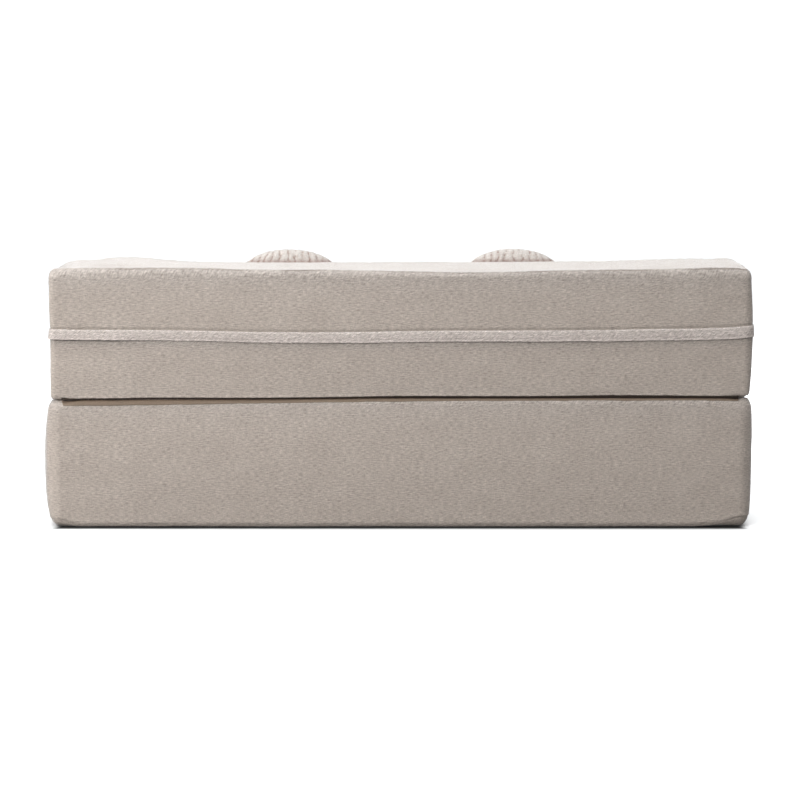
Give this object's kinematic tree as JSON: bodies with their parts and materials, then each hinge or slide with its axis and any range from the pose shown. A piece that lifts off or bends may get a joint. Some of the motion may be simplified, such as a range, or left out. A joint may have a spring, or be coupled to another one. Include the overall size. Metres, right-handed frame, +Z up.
{
  "type": "floor sofa bed",
  "caption": "Low foam sofa for the floor: a block base, a backrest block on a cloth hinge that folds back level with the seat, a zip flap round the backrest, and ribbed cushions.",
  "frame": {"origin": "on the floor, at the bottom centre of the box round the whole sofa", "axes": "+Z up, the seat faces -Y, the backrest stands at +Y, +X to the right of someone facing the seat"},
  "size_m": [1.93, 0.8638, 0.7179],
  "materials": {
    "sofa_fabric": "short-pile chenille in warm grey-beige",
    "liner_fabric": "thin non-woven liner",
    "firm_foam": "open-cell polyurethane foam, firm",
    "soft_foam": "open-cell polyurethane foam, soft",
    "sole_fabric": "woven fabric with anti-slip dots",
    "zip_tape": "woven zip tape",
    "zip_teeth": "moulded nylon",
    "zip_metal": "satin zinc alloy",
    "hinge_fabric": "plain woven canvas",
    "cushion_fabric": "plush with upright ribs",
    "cushion_fibre": "polyester fibre"
  },
  "bodies": {
    "base": {"base_cover": "sofa_fabric", "base_liner": "liner_fabric", "base_firm_foam": "firm_foam", "base_soft_foam": "soft_foam", "anti_slip_sole": "sole_fabric", "base_zip_tapes": "zip_tape", "base_zip_teeth": "zip_teeth", "base_zip_stops": "zip_metal", "hinge_leaf_base": "hinge_fabric"},
    "base_slider": {"base_zip_slider": "zip_metal"},
    "backrest": {"backrest_cover": "sofa_fabric", "backrest_liner": "liner_fabric", "backrest_firm_foam": "firm_foam", "backrest_soft_foam": "soft_foam", "hinge_leaf_backrest": "hinge_fabric", "zip_flap_rear": "sofa_fabric", "zip_flap_left": "sofa_fabric", "zip_flap_right": "sofa_fabric", "backrest_zip_tapes": "zip_tape", "backrest_zip_teeth": "zip_teeth", "backrest_zip_stops": "zip_metal"},
    "backrest_slider": {"backrest_zip_slider": "zip_metal", "backrest_zip_pull": "zip_metal"},
    "cushion_left": {"cushion_left_cover": "cushion_fabric", "cushion_left_zip": "zip_tape", "cushion_left_filling": "cushion_fibre"},
    "cushion_right": {"cushion_right_cover": "cushion_fabric", "cushion_right_zip": "zip_tape", "cushion_right_filling": "cushion_fibre"}
  },
  "joints": [
    {"name": "backrest_fold", "type": "hinge", "parent": "base", "child": "backrest", "pos_m": [0, 0.4303, 0.35015], "axis": [-1, 0, 0], "range_deg": [0, 180]},
    {"name": "cushion_left_recline", "type": "hinge", "parent": "base", "child": "cushion_left", "pos_m": [-0.316, -0.0701, 0.4262], "axis": [-1, 0, 0], "range_deg": [0, 70]},
    {"name": "cushion_right_recline", "type": "hinge", "parent": "base", "child": "cushion_right", "pos_m": [0.316, -0.0701, 0.4262], "axis": [-1, 0, 0], "range_deg": [0, 70]},
    {"name": "base_zip_slide", "type": "slide", "parent": "base", "child": "base_slider", "axis": [-1, 0, 0], "range_m": [0, 1.559]},
    {"name": "backrest_zip_slide", "type": "slide", "parent": "backrest", "child": "backrest_slider", "axis": [-1, 0, 0], "range_m": [0, 1.654]}
  ],
  "couplings": [
    {"joint": "cushion_left_recline", "follows": "backrest_fold", "ratio": 0.3888},
    {"joint": "cushion_right_recline", "follows": "backrest_fold", "ratio": 0.3888}
  ]
}
